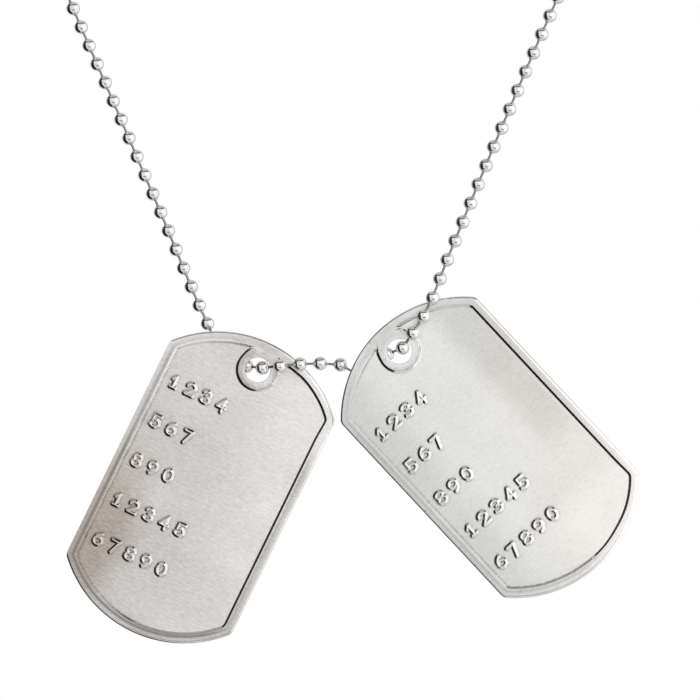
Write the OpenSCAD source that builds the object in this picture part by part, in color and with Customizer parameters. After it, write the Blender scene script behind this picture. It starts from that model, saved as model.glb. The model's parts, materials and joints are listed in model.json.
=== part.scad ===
// Identification dog tags on a ball chain: two stamped steel tags threaded on one closed necklace.
// Millimetres, +Z up, front towards -Y. The origin is where the connector lies against the nape.

/* [Tag] */
// Length of a tag from tip to tip
tag_l = 50; // [46:0.5:54]
// Width of a tag between its straight sides
tag_w = 28.8; // [27:0.2:31]
// Radius of the arc across each end
end_r = 19.2; // [17:0.2:24]
// Radius of the four outer corners
corner_r = 1.5; // [0.8:0.1:2.5]
// Thickness of the sheet
sheet_t = 0.5; // [0.4:0.05:0.8]
// Width of the raised rim
rim_w = 1.7; // [1.2:0.1:2.2]
// Height of the rim and of the collar above the sheet
rim_h = 0.35; // [0.3:0.05:0.5]
// Diameter of the hole
hole_d = 3.9; // [3.8:0.1:4.3]
// Distance from the tip down to the middle of the hole
hole_down = 4.6; // [4.4:0.1:5.4]
// Width of the collar round the hole
collar_w = 1.3; // [0.9:0.1:1.6]

/* [Numbers] */
// Height of a number
digit_h = 2.4; // [2:0.1:3]
// Width of a number
digit_w = 1.95; // [1.6:0.05:2.2]
// Width of a number's stroke
stroke_w = 0.5; // [0.35:0.05:0.6]
// Height of the numbers above the sheet
emboss_h = 0.3; // [0.15:0.05:0.3]
// Depth of the numbers pressed into the back
press_d = 0.2; // [0.1:0.05:0.25]
// Distance from one number to the next
digit_pitch = 2.72; // [2.5:0.02:3]
// Distance from one row to the next
row_pitch = 6.8; // [6:0.1:7.2]
// Distance from the tag's left side to the first number
row_margin = 2.6; // [2.4:0.1:4]
// Distance from the tag's middle up to the baseline of the top row
top_row_up = 11.8; // [10:0.1:12.5]

/* [Chain] */
// Diameter of a ball
ball_d = 2.15; // [2:0.05:2.3]
// Distance from ball to ball along the chain
ball_pitch = 3.15; // [3:0.05:3.5]
// Wall of a hollow ball
ball_wall = 0.2; // [0.15:0.05:0.25]
// Diameter of the link wire
link_d = 0.4; // [0.3:0.05:0.45]
// Gap between the chain and a tag's face
lay_gap = 0.15; // [0.1:0.05:0.3]

/* [Connector] */
// Wall of the sleeve
sleeve_wall = 0.3; // [0.25:0.05:0.5]
// Gap between the sleeve and the two balls inside it
sleeve_gap = 0.15; // [0.12:0.01:0.25]
// Width of the slit that the balls are pressed in through
slit_w = 0.8; // [0.5:0.05:1.2]

/* [Pose] */
// Tilt of the left tag, clockwise as seen from the front
left_tilt = 26; // [0:1:45]
// Tilt of the right tag, clockwise as seen from the front
right_tilt = -43; // [-50:1:0]

/* [Hidden] */
$fn = 48;
// Facets round a ball, its holes and its link, which are small and many
chain_fn = 20;

// Numbers in the five rows, the same on both tags
ROWS = [[1, 2, 3, 4], [5, 6, 7], [8, 9, 0], [1, 2, 3, 4, 5], [6, 7, 8, 9, 0]];
// Angle between the points of the end arcs, the corners and the numbers
end_step = 4;
corner_step = 15;
digit_step = 24;
// Longest mitre at a stroke's corner, in half stroke widths
mitre_max = 1.4;
// Overlap that joins a raised or cut form to its face
bite = 0.05;

tag_t = sheet_t + rim_h;
ball_r = ball_d / 2;
cavity_r = ball_r - ball_wall;

// Every link's head stays captive: the hole in a ball is wider than the wire and narrower than the head
link_gap = 0.12;
hole_r = link_d / 2 + link_gap;
head_r = hole_r + link_gap;
head_from_middle = cavity_r - head_r - link_gap;
// Turn of a hole's own seam, off the seam of the ball
seam_turn = 45;

// The chain lies in three layers with a tag between each two of them
layer = ball_d + tag_t + 2 * lay_gap;
mid_y = -138;
back_y = mid_y + layer;
front_y = mid_y - layer;

// Middle of each tag's hole, halfway through its thickness
left_hole = [-9.1, mid_y + layer / 2, -165.6];
right_hole = [13, mid_y - layer / 2, -162.7];

// The sleeve holds the first and the last ball of the chain
sleeve_r = ball_r + sleeve_gap + sleeve_wall;
sleeve_mouth_r = link_d / 2 + 3 * link_gap;
sleeve_ball_x = ball_d;
sleeve_half = sleeve_ball_x + ball_r + sleeve_gap + sleeve_wall;

// Route of the chain's middle line, from the nape round the left side, through both tags and back
ROUTE = [
    [-sleeve_ball_x, sleeve_r, 0], [-16, sleeve_r - 2, -1], [-46, -15, -8], [-64.5, -50, -25],
    [-66.4, -92, -47], [-57.5, -122, -67], [-46.3, back_y - 0.5, -89.5],
    [-37.9, back_y, -109.4], [-31.6, back_y, -124], [-24, back_y, -141.8], [-17, back_y, -158.4],
    [-15.6, back_y, -161.3], [-13.5, back_y, -163.7], [-11, back_y, -165],
    [-8.5, mid_y + 1.4, -165.3], [-5.7, mid_y - 0.05, -165], [-2.5, mid_y, -164.7], [0.7, mid_y, -164.6],
    [3.8, mid_y, -164.8], [6.4, mid_y, -166.3], [9.4, mid_y, -165.9], [10.8, mid_y + 0.1, -163.4],
    [13.2, mid_y - 1.6, -162.4], [15, front_y, -159.9],
    [16.9, front_y, -156.9], [20.2, front_y, -148.9], [26.4, front_y, -133.8], [36.6, front_y, -109.9],
    [46, front_y + 1, -89.5], [57, -126, -67], [67, -94, -47],
    [64.5, -50, -25], [46, -15, -8], [16, sleeve_r - 2, -1], [sleeve_ball_x, sleeve_r, 0]
];
// Points worked out between each two of the route
route_cuts = 12;

function unit(v) = v / norm(v);
function reversed(list) = [for (i = [len(list) - 1:-1:0]) list[i]];

// Points of an arc with half widths r.x and r.y round c, from angle a to angle b
function arc(c, r, a, b, step) =
    let (cuts = ceil(abs(b - a) / step))
    [for (i = [0:cuts]) let (t = a + (b - a) * i / cuts) [c.x + r.x * cos(t), c.y + r.y * sin(t)]];

// Direction of the route at point i, weighted by the spans on both sides
function heading(p, i) =
    i == 0 ? unit(p[1] - p[0])
    : i == len(p) - 1 ? unit(p[i] - p[i - 1])
    : let (a = norm(p[i] - p[i - 1]), b = norm(p[i + 1] - p[i]))
        unit((p[i] - p[i - 1]) * b / a + (p[i + 1] - p[i]) * a / b);

// Smooth curve through the points p
function curve(p, cuts) = [
    for (i = [0:len(p) - 2], k = [0:cuts - 1])
        let (
            t = k / cuts,
            span = norm(p[i + 1] - p[i]),
            from = heading(p, i) * span,
            to = heading(p, i + 1) * span
        )
        p[i] * (2 * t ^ 3 - 3 * t ^ 2 + 1) + from * (t ^ 3 - 2 * t ^ 2 + t)
        + p[i + 1] * (3 * t ^ 2 - 2 * t ^ 3) + to * (t ^ 3 - t ^ 2),
    p[len(p) - 1]
];

// Distance along the curve at each of its points
function distances(c) = [
    for (i = 0, s = 0; i < len(c); s = s + (i + 1 < len(c) ? norm(c[i + 1] - c[i]) : 0), i = i + 1) s
];

LINE = curve(ROUTE, route_cuts);
ALONG = distances(LINE);
line_l = ALONG[len(ALONG) - 1];
function table(axis) = [for (i = [0:len(LINE) - 1]) [ALONG[i], LINE[i][axis]]];
TABLES = [table(0), table(1), table(2)];
function at(s) = [lookup(s, TABLES[0]), lookup(s, TABLES[1]), lookup(s, TABLES[2])];

ball_count = round(line_l / ball_pitch) + 1;
BALLS = [for (i = [0:ball_count - 1]) at(line_l * i / (ball_count - 1))];

// Turns the children's +Z along v
module along(v) {
    rotate([0, acos(v.z / norm(v)), atan2(v.y, v.x)]) children();
}

// Hollow ball i with the hole that the link from the ball before enters by, its poles across the chain
module ball(i) {
    ahead = i < ball_count - 1 ? BALLS[i + 1] - BALLS[i] : BALLS[i] - BALLS[i - 1];
    difference() {
        along(ahead) rotate([90, 0, 0]) sphere(r = ball_r);
        along(ahead) rotate([90, 0, 0]) sphere(r = cavity_r);
        if (i > 0) along(BALLS[i - 1] - BALLS[i]) rotate(seam_turn) cylinder(r = hole_r, h = ball_d);
    }
}

// Link wire fixed in ball i, with its head held in the next ball
module link(i) {
    reach = norm(BALLS[i + 1] - BALLS[i]) - head_from_middle;
    along(BALLS[i + 1] - BALLS[i]) {
        translate([0, 0, cavity_r + ball_wall / 2]) cylinder(d = link_d, h = reach - cavity_r - ball_wall / 2);
        translate([0, 0, reach]) sphere(r = head_r);
    }
}

module ball_chain() {
    $fn = chain_fn;
    color([0.86, 0.86, 0.85])
        for (i = [0:ball_count - 1])
            translate(BALLS[i]) {
                ball(i);
                if (i < ball_count - 1) link(i);
            }
}

// Outline of a tag drawn in by inset, its corners rounded by r
module tag_outline(inset, r) {
    half_w = tag_w / 2 - inset;
    big_r = end_r - inset;
    arc_y = tag_l / 2 - end_r;
    corner_x = half_w - r;
    corner_y = arc_y + sqrt((big_r - r) ^ 2 - corner_x ^ 2);
    turn = atan2(corner_y - arc_y, corner_x);
    half = concat(
        arc([corner_x, corner_y], [r, r], 0, turn, corner_step),
        arc([0, arc_y], [big_r, big_r], turn, 180 - turn, end_step),
        arc([-corner_x, corner_y], [r, r], 180 - turn, 180, corner_step)
    );
    polygon(concat(half, -half));
}

// Points beside a path at distance w to its left, mitred at its corners
function beside(path, w) = [
    for (i = [0:len(path) - 1])
        let (
            last = len(path) - 1,
            into = unit(path[max(i, 1)] - path[max(i, 1) - 1]),
            out = unit(path[min(i, last - 1) + 1] - path[min(i, last - 1)]),
            n = unit([-into.y - out.y, into.x + out.x]),
            mitre = min(mitre_max, 1 / (n * [-out.y, out.x]))
        )
        path[i] + n * w * mitre
];

module stroke(path) {
    polygon(concat(beside(path, stroke_w / 2), reversed(beside(path, -stroke_w / 2))));
}

// Closed loop of a stroke with half widths r round c
module loop(c, r) {
    half = stroke_w / 2;
    difference() {
        polygon(arc(c, r + [half, half], digit_step, 360, digit_step));
        polygon(arc(c, r - [half, half], digit_step, 360, digit_step));
    }
}

// One number, its baseline at y = 0 and its middle at x = 0
module digit(n) {
    u = (digit_w - stroke_w) / 2;
    low = stroke_w / 2;
    top = digit_h - low;
    h = top - low;
    if (n == 0) loop([0, digit_h / 2], [u, h / 2]);
    if (n == 1) {
        stroke([[-0.7 * u, top - 0.3 * h], [0, top - 0.05 * h], [0, low]]);
        stroke([[-0.7 * u, low], [0.7 * u, low]]);
    }
    if (n == 2) {
        stroke(concat(arc([0, top - 0.3 * h], [u, 0.3 * h], 170, -20, digit_step), [[-0.75 * u, low + 0.04 * h]]));
        stroke([[-u, low], [u, low]]);
    }
    if (n == 3) {
        stroke(arc([-0.1 * u, top - 0.24 * h], [0.95 * u, 0.24 * h], 150, -90, digit_step));
        stroke(arc([-0.1 * u, low + 0.26 * h], [1.05 * u, 0.26 * h], 90, -150, digit_step));
    }
    if (n == 4) {
        stroke([[0.45 * u, low - 0.1 * h], [0.45 * u, top]]);
        stroke([[0.35 * u, top - 0.05 * h], [-0.85 * u, low + 0.3 * h]]);
        stroke([[-u, low + 0.27 * h], [u, low + 0.27 * h]]);
    }
    if (n == 5) {
        stroke([[0.85 * u, top], [-0.75 * u, top], [-0.8 * u, low + 0.5 * h]]);
        stroke(arc([-0.15 * u, low + 0.32 * h], [1.1 * u, 0.32 * h], 125, -145, digit_step));
    }
    if (n == 6) {
        loop([0, low + 0.31 * h], [u, 0.31 * h]);
        stroke(arc([0.9 * u, low + 0.31 * h], [1.9 * u, 0.69 * h], 170, 105, digit_step));
    }
    if (n == 7) stroke([[-u, top], [0.9 * u, top], [-0.3 * u, low - 0.1 * h]]);
    if (n == 8) {
        loop([0, top - 0.23 * h], [0.9 * u, 0.23 * h]);
        loop([0, low + 0.27 * h], [u, 0.27 * h]);
    }
    if (n == 9) {
        loop([0, top - 0.31 * h], [u, 0.31 * h]);
        stroke(arc([-0.9 * u, top - 0.31 * h], [1.9 * u, 0.69 * h], -10, -75, digit_step));
    }
}

module numbers(h) {
    for (row = [0:len(ROWS) - 1], k = [0:len(ROWS[row]) - 1])
        translate([
            -tag_w / 2 + row_margin + digit_w / 2 + k * digit_pitch,
            top_row_up - row * row_pitch
        ])
            linear_extrude(h) digit(ROWS[row][k]);
}

// A tag flat on its back, the middle of its hole at the origin and halfway through its thickness
module tag() {
    hole_y = tag_l / 2 - hole_down;
    translate([0, -hole_y, -tag_t / 2])
        difference() {
            union() {
                difference() {
                    linear_extrude(tag_t) tag_outline(0, corner_r);
                    translate([0, 0, sheet_t])
                        linear_extrude(tag_t) difference() {
                            tag_outline(rim_w, bite);
                            translate([0, hole_y]) circle(d = hole_d + 2 * collar_w);
                        }
                }
                translate([0, 0, sheet_t - bite]) numbers(emboss_h + bite);
            }
            translate([0, hole_y, -tag_t]) cylinder(d = hole_d, h = 3 * tag_t);
            translate([0, 0, -bite]) numbers(press_d + bite);
        }
}

module hung_tag(place, tilt) {
    color([0.78, 0.78, 0.76]) translate(place) rotate([0, tilt, 0]) rotate([90, 0, 0]) tag();
}

module left_tag() {
    hung_tag(left_hole, left_tilt);
}

module right_tag() {
    hung_tag(right_hole, right_tilt);
}

// Slit sleeve round the two end balls
module connector() {
    inner_half = sleeve_half - sleeve_wall;
    color([0.82, 0.82, 0.8])
        translate([0, sleeve_r, 0]) rotate([0, 90, 0])
            difference() {
                cylinder(r = sleeve_r, h = 2 * sleeve_half, center = true);
                cylinder(r = sleeve_r - sleeve_wall, h = 2 * inner_half, center = true);
                cylinder(r = sleeve_mouth_r, h = 3 * sleeve_half, center = true);
                translate([0, sleeve_r, 0]) cube([slit_w, 2 * sleeve_r, 3 * sleeve_half], center = true);
            }
}

ball_chain();
left_tag();
right_tag();
connector();
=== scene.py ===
"""Identification dog tags: two stamped steel tags threaded on one closed ball-chain necklace."""

import json
import math

import bpy
import numpy as np
from mathutils import Matrix
from mathutils import Vector
from mathutils.geometry import delaunay_2d_cdt


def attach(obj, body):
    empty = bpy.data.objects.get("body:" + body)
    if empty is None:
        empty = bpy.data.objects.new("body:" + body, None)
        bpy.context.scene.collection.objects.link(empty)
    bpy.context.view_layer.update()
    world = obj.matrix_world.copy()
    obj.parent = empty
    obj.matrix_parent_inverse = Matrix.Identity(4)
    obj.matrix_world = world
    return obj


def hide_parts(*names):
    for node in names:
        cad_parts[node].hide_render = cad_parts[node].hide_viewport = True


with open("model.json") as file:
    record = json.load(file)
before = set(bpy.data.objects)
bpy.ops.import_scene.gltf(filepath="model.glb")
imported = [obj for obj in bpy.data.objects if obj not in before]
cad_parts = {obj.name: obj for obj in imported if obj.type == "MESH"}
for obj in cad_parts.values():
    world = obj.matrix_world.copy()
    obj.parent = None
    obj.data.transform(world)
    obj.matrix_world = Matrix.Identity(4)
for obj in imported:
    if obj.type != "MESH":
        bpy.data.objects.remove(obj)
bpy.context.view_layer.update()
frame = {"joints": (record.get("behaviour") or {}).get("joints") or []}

# Lengths of the object are in millimetres up to the moment that a mesh is made
MM = 0.001
# A distance beyond all others, and one that counts as none
FAR = 1e3
TINY = 1e-9

# The tag lies on its back in its own frame: +Y towards its tip, +Z out of its front, the back face at Z = 0
TAG_L = 50.0
TAG_W = 28.8
END_R = 19.2
CORNER_R = 1.5
SHEET_T = 0.5
RIM_W = 1.7
RIM_H = 0.35
HOLE_R = 1.95
HOLE_DOWN = 4.6
COLLAR_W = 1.3
TAG_T = SHEET_T + RIM_H
ARC_Y = TAG_L / 2 - END_R
HOLE_Y = TAG_L / 2 - HOLE_DOWN
COLLAR_R = HOLE_R + COLLAR_W

# Rounding of the edges as width and depth, on the front and on the back, and the hole's wide flat lip
EDGE_ROUND = ((0.5, 0.4), (0.2, 0.2))
HOLE_ROUND = ((0.1, 0.1), (0.24, 0.2))
LIP_W = 0.55
LIP_DROP = 0.035
# How far the left edge is drawn in, and how squarely an edge faces left where its rounding is flattened
EDGE_IN = 0.1
FACES_LEFT = 0.8
# Sloped wall between the rim and the sheet, and by how much it is steeper: the rim's wall where it faces
# right, and the collar's on its left side and on its right side
WALL_W = 0.4
WALL_ROUND = 0.15
STEEP_RIM = 1.6
STEEP_COLLAR = (0.9, 1.15)
COLLAR_BLEND = 3
INNER_CORNER = 0.35
NOTCH_ROUND = 0.35
# The collar flares out into the rim over these turns from the tag's tip, in degrees
FLARE = 0.42
FLARE_FROM = 75
FLARE_TO = 25
# Height that the rim loses at its outer edge, and the width over which it does
RIM_CROWN = 0.06
CROWN_W = 0.95
# Distance from the wall over which the sheet's waves grow to their full height
WAVES_GROW = 2
# Width round the middle of a tag over which what differs from left to right changes
SIDE_BLEND = 8

# Numbers: rows from the top, placed as in the solid, with the fuller strokes that a worn punch leaves
ROWS = [[1, 2, 3, 4], [5, 6, 7], [8, 9, 0], [1, 2, 3, 4, 5], [6, 7, 8, 9, 0]]
DIGIT_H = 2.4
DIGIT_W = 1.95
STROKE_W = 0.66
EMBOSS_H = 0.3
PRESS_D = 0.2
DIGIT_PITCH = 2.72
ROW_PITCH = 6.8
ROW_MARGIN = 2.6
TOP_ROW_UP = 11.8
DIGIT_STEP = 15.0
# Half width of a raised stroke at its foot, of its flat crest, and of the soft pucker of the sheet round it
FOOT = 0.44
CREST = 0.06
PUCKER = 0.68
PUCKER_H = 0.02
PRESS_FOOT = 0.33

# Fineness of the tags' meshes: the grids that contours are traced on, how closely they are kept, how near
# points may lie, and the spacing and clearance of the free points between the contours
DIGIT_GRID = 0.025
POCKET_GRID = 0.1
CONTOUR_TOLERANCE = 0.004
CONTOUR_MARGIN = 0.1
SHORTEST_LOOP = 8
WELD = 1e-6
FREE_STEP = 1.3
FREE_CLEAR = 0.25
FREE_FROM_HOLE = 0.8
SLOPE_STEP = 0.01
# Pieces of the outline's end arc, of a corner, of a side, of the hole and of a rounded edge
END_CUTS = 48
CORNER_CUTS = 8
SIDE_CUTS = 16
HOLE_CUTS = 64
ROUND_CUTS = 6
# Where contours run: round a stroke from its centre line, on the walls from their middle, on the lip from
# the hole and on the rim's band from the edge
NUMBER_LEVELS = [PUCKER, 0.5, 0.44, 0.38, 0.25, 0.12, 0.05]
PRESS_LEVELS = [0.38, 0.28, 0.17, 0.06]
WALL_LEVELS = [-0.34, -0.26, -0.2, -0.14, 0.14, 0.2, 0.26, 0.33, 0.42, 0.55]
LIP_CUTS = (0.2, 0.3, 0.4, 0.5, 0.62)
BAND_CUTS = (0.72, 0.84, 0.97, 1.1, 1.24)

# Chain
BALL_R = 1.075
BALL_PITCH = 3.15
WIRE_R = 0.2
LAY_GAP = 0.15
LAYER = 2 * BALL_R + TAG_T + 2 * LAY_GAP
MID_Y = -138.0
BACK_Y = MID_Y + LAYER
FRONT_Y = MID_Y - LAYER
BALL_SIDES = 20
# Half of a ball's profile, from its hole to its equator: radii and heights, then the round part's angles
NECK = [(0.225, 0.84), (0.228, 1.075), (0.265, 1.13), (0.315, 1.11), (0.335, 1.045)]
BALL_ANGLES = [22, 32, 43, 55, 66, 78, 90]
# A link's wire from ball to ball: where it starts, then how far along and how thick it is, as shares
WIRE_SIDES = 12
WIRE_START = 0.82
WIRE_PROFILE = [(0, 0), (0, 1), (0.18, 1), (0.35, 0.93), (0.65, 0.93), (0.82, 1), (1, 1), (1, 0)]

# Connector
SLEEVE_WALL = 0.3
SLEEVE_GAP = 0.15
SLEEVE_R = BALL_R + SLEEVE_GAP + SLEEVE_WALL
SLEEVE_BALL_X = 2 * BALL_R
SLEEVE_HALF = SLEEVE_BALL_X + SLEEVE_R
SLEEVE_MOUTH_GAP = 0.36
SLEEVE_MOUTH_R = WIRE_R + SLEEVE_MOUTH_GAP
SLIT_W = 0.8
SLEEVE_END_ROUND = 0.5
SLEEVE_LIP_ROUND = 0.08
GROOVE_X = 2.85
GROOVE_HALF = 0.35
GROOVE_D = 0.07
SLEEVE_CUTS = 56
SLEEVE_LENGTH_CUTS = 20
SLEEVE_END_CUTS = 6
SHARP_EDGE = 40

# Route of the chain's middle line, from the nape round the left side, through both tags and back
ROUTE = [
    (-SLEEVE_BALL_X, SLEEVE_R, 0), (-16, SLEEVE_R - 2, -1), (-46, -15, -8), (-64.5, -50, -25),
    (-66.4, -92, -47), (-57.5, -122, -67), (-46.3, BACK_Y - 0.5, -89.5),
    (-37.9, BACK_Y, -109.4), (-31.6, BACK_Y, -124), (-24, BACK_Y, -141.8), (-17, BACK_Y, -158.4),
    (-15.6, BACK_Y, -161.3), (-13.5, BACK_Y, -163.7), (-11, BACK_Y, -165),
    (-8.5, MID_Y + 1.4, -165.3), (-5.7, MID_Y - 0.05, -165), (-2.5, MID_Y, -164.7), (0.7, MID_Y, -164.6),
    (3.8, MID_Y, -164.8), (6.4, MID_Y, -166.3), (9.4, MID_Y, -165.9), (10.8, MID_Y + 0.1, -163.4),
    (13.2, MID_Y - 1.6, -162.4), (15, FRONT_Y, -159.9),
    (16.9, FRONT_Y, -156.9), (20.2, FRONT_Y, -148.9), (26.4, FRONT_Y, -133.8), (36.6, FRONT_Y, -109.9),
    (46, FRONT_Y + 1, -89.5), (57, -126, -67), (67, -94, -47),
    (64.5, -50, -25), (46, -15, -8), (16, SLEEVE_R - 2, -1), (SLEEVE_BALL_X, SLEEVE_R, 0),
]
ROUTE_CUTS = 12

# Soft steps across a tag. Each has the way (x, y) along which it rises from 0 to 1, where it starts and over
# what length it rises, and some have the height and rate of a ripple that makes the edge uneven.
RIGHT = ((1, 0), -SIDE_BLEND / 2, SIDE_BLEND)
LEFT = ((-1, 0), -SIDE_BLEND / 2, SIDE_BLEND)
LEFT_TIP = ((0, 1), 16, 4)
TAG_FOOT = ((0, -1), 16, 5)
LEFT_SIDE = ((-1, 0), -11, 13)
LEFT_UPPER = ((0, 1), 6, 6)
LEFT_PATCH = [((-1, 0), 4, 6.5, 0.8, 0.35), ((0, -1), -6, 14)]
RIGHT_TIP = ((0, 1), 16, 3)

# What differs between the tags: their tilt, clockwise as seen from the front, how much flatter the rounding
# of the left edge is, and their steel with its seed, its bright and dull tones and the strength of its marks.
# The two tags' tones differ as painted light and shade, the left tag's darker.
# The rest are lists of zones, which are summed. Each zone has a strength and the soft steps that bound it.
# They say how much narrower the rim is than RIM_W, how dull the tag is (its own tone, plus painted light and
# shade that darken or lighten it by place), how much duller the rim is and a painted highlight line along its
# inner half, how warm the tint is, and how much duller the collar is, evenly and by side as painted shade.
# The painted shade band along the rim takes the greatest of its sums.
TAGS = {
    "left_tag": {
        "tilt": 26, "left_flat": 0.85, "steel": "tag_steel_left", "seed": 0.0,
        "bright_tone": (0.95, 0.945, 0.94), "dull_tone": (0.42, 0.4, 0.388), "marks": 0.22,
        "slimness": [(0.1, []), (0.02, [RIGHT]), (0.3, [((1, 0), 3, 5), ((0, 1), 14, 6)])],
        "dull": [
            (0.15, []), (0.29, [LEFT_SIDE]), (-0.0435, [LEFT_SIDE, LEFT_UPPER]), (0.34, LEFT_PATCH),
            (0.1, [((0, -1), 6, 6)]),
        ],
        "dull_rim": [(0.32, [RIGHT, ((0, -1), -14, 6)])],
        "painted_rim_highlight": [(-0.7, [LEFT, ((0, 1), -18, 4)])],
        "warm": [(0.15, []), (0.85, LEFT_PATCH)],
        "painted_rim_shade": [
            [(0.6, [LEFT]), (0.4, [LEFT, ((0, -1), -6, 6)]), (-0.42, [LEFT, LEFT_TIP])],
            [(0.35, [((0, -1), -14, 4)])],
            [(1.0, [TAG_FOOT])],
        ],
        "collar": [
            (0.35, []), (-0.3, [((1, 0), -2, 4), ((0, -1), -HOLE_Y - 1, 2)]),
            (0.25, [((0, -1), 1.5 - HOLE_Y, 2)]), (-0.2, [((0, 1), HOLE_Y + 1, 2)]),
        ],
    },
    "right_tag": {
        "tilt": -43, "left_flat": 0.0, "steel": "tag_steel_right", "seed": 11.0,
        "bright_tone": (1.0, 1.0, 0.995), "dull_tone": (0.5, 0.495, 0.485), "marks": 0.14,
        "slimness": [(0.1, []), (0.17, [RIGHT]), (0.19, [((1, 0), 5, 5), ((0, -1), 14, 6)])],
        "dull": [
            (0.28, []), (0.28, [((-1, 0), 4, 8)]), (0.24, [((1, 0), 5, 4), ((0, 1), -10, 8)]),
            (0.08, [((0, 1), 4, 6)]), (-0.25, [((0, -1), 12, 6), RIGHT]),
        ],
        "dull_rim": [],
        "painted_rim_highlight": [],
        "warm": [(0.38, [((1, -0.45), 2, 5, 1.5, 0.3)])],
        "painted_rim_shade": [[(0.3, [LEFT]), (0.08, []), (-0.18, [LEFT, RIGHT_TIP]), (-0.048, [RIGHT_TIP])]],
        "collar": [
            (0.15, []), (0.1, [((0, 1), HOLE_Y + 1, 2)]),
            (-0.2, [((1, 0), 1, 2), ((0, -1), -HOLE_Y - 2, 2)]),
        ],
    },
}

# Marks that the steel's tones follow: a painted highlight line and a painted shade band on the rim, painted
# shade lines at the foot of the wall, on the collar and along the strokes, and the polish of the lip and the
# crests.
# A line has its distance and half width, and a soft edge has where it starts and over what length it changes,
# from the tag's edge, the wall, the collar or the hole.
PAINTED_RIM_HIGHLIGHT_AT = (1.5, 0.12)
BAND_LINE = (0.98, 0.27)
BAND_DEEPER = 0.14
BAND_OFF_COLLAR = (0.6, 2)
FOOT_LINE = (0.2, 0.08)
FOOT_LINE_START = 0.1
FOOT_LINE_TOP = (19, 4)
FOOT_LINE_FROM_HOLE = (6, 4)
COLLAR_LINE = (-0.27, 0.09)
COLLAR_LINE_SHARE = 0.6
COLLAR_LINE_END = 0.3
STROKE_LINE_HALF = 0.1
STROKE_LINE_SHARE = 0.4
LIP_POLISH = (0.35, 0.25)
LIP_POLISH_SHARE = 0.25
LIP_DULL_SHARE = 0.5
CREST_POLISH = 0.7
RIM_EDGE = 0.15
NEAR_COLLAR = (0.5, 3.5)
# Least share that a normal of the front faces front, and the share and range of it where a slope is a wall
FRONT_FACING = 0.05
WALL_FACING = (0.975, 0.12)

# How long the grains of the tags' noises are, as how many fit in a tag's length along and across the rows
FINE_BRUSHING = (36, 360, 1)
BROAD_BRUSHING = (12, 130, 1)
GRAIN = (70, 150, 1)
CLOUDS = (2.6, 4.2, 1)
NICKS = (70, 70, 1)
STREAK_SHARES = (0.5, 0.15, 0.35)
# Parts of a noise's range that count, from none to all
NOISE_SPAN = (0.3, 0.7)
STREAK_SPAN = (0.35, 0.65)
NICK_SPAN = (0.62, 0.72)
SPOT_SPAN = (0.35, 0.6)
SPOT_LEAST = 0.35
CLOUD_SHARE = 0.5
COOL_TINT = (1.0, 0.998, 0.99)
WARM_TINT = (1.0, 0.925, 0.865)
# Tone of the painted shade band along the rim
PAINTED_RIM_SHADE_TONE = (0.25, 0.235, 0.22)
NICK_TONE = (0.25, 0.23, 0.21)
NICK_SHARE = 0.45
# Tone of the painted shade at the foot of the walls, on the collar and round the strokes
PAINTED_CREASE_SHADE_TONE = (0.2, 0.18, 0.165)
CREST_TONE = (0.95, 0.94, 0.92)
CREST_SHARE = 0.3
TAG_ROUGHNESS = (0.3, 0.38)
LEAST_ROUGHNESS = 0.07
RIM_SMOOTHER = 0.08
CREST_SMOOTHER = 0.08
WALL_SMOOTHER = 0.22
ANISOTROPY = 0.45
SCORE_STRENGTH = 0.5
PIT_STRENGTH = 0.3
RIM_UNMARKED = 0.8
# The same for the chain and the connector, in grains to the metre, and the depth of fine marks in metres
FINE_MARKS = (1500, 1500, 1500)
DULL_SPOTS = (420, 420, 420)
DULL_TONE = 0.8
DULL_SPAN = (0.4, 0.7)
DULL_SHARE = 0.6
DULL_ROUGHER = 1.8
MARK_STRENGTH = 0.25
SEAM_SPAN = (0.86, 0.97)
SEAM_SHARE = 0.75
SEAM_TONE = (0.12, 0.11, 0.1)
# Tone of the painted shade inside the balls' holes
PAINTED_HOLE_SHADE_TONE = (0.1, 0.095, 0.09)
MARK_DEPTH = 0.00001
# Tone and least roughness. The links' tone is painted far darker than the balls' steel, as a painted dark
# reflection.
BALL_STEEL = ((0.82, 0.82, 0.81), 0.05)
LINK_STEEL_PAINTED_DARK = ((0.3, 0.285, 0.27), 0.08)
SLEEVE_STEEL = ((0.84, 0.84, 0.83), 0.07)

# The studio as the metal mirrors it: soft round cards, each laid over the ones before it.
# Each has the way towards it, its half angle and soft edge in degrees, and its brightness.
STUDIO = 0.93
CARDS = [
    ((0, 0.3, -1), 86, 3, 0.03),
    ((0, 0.3, -1), 76, 3, 0.78),
    ((-0.78, -0.6, -0.4), 25, 4, 0.9),
    ((-0.85, 0.25, 0.45), 33, 6, 0.03),
    ((-1, 0.05, -0.12), 41, 7, 0.04),
    ((-0.7, 0.2, -0.75), 36, 6, 0.01),
    ((0, 1, 0), 58, 8, 0.6),
    ((0.95, -0.22, -0.05), 40, 10, 1.2),
    ((-0.1, 0.13, 1), 46, 3, 0.03),
    ((-0.1, 0.13, 1), 33, 3, 0.5),
    ((0.12, 0.75, 0.65), 36, 6, 0.7),
]
BACKDROP = 1.0
FLOOR_LIGHT = 1.15
# From here on places and sizes are in metres
FLOOR_Z = -0.3
FLOOR_R = 0.5
FLOOR_MID = (0.0, -0.07)
FLOOR_SIDES = 128
FLOOR_TONE = (0.93, 0.93, 0.92, 1)
FLOOR_ROUGHNESS = 0.8
KEY_PLACE = (0.25, -0.55, 0.0)
KEY_TARGET = (0.03, -0.138, -0.18)
KEY_SIZE = 0.3
KEY_POWER = 0.15
CAMERA_LENS = 200.0
CAMERA_SENSOR = 36.0
CAMERA_NEAR = 0.01
# Width of the photograph at the tags, and the point of the model in its middle
VIEW_W = 0.10903
VIEW_MID = Vector((0.0053, -0.138, -0.1625))


def smooth_step(t):
    """A rise from 0 at t = 0 to 1 at t = 1 that is level at both ends."""
    t = np.clip(t, 0, 1)
    return t * t * (3 - 2 * t)


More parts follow.
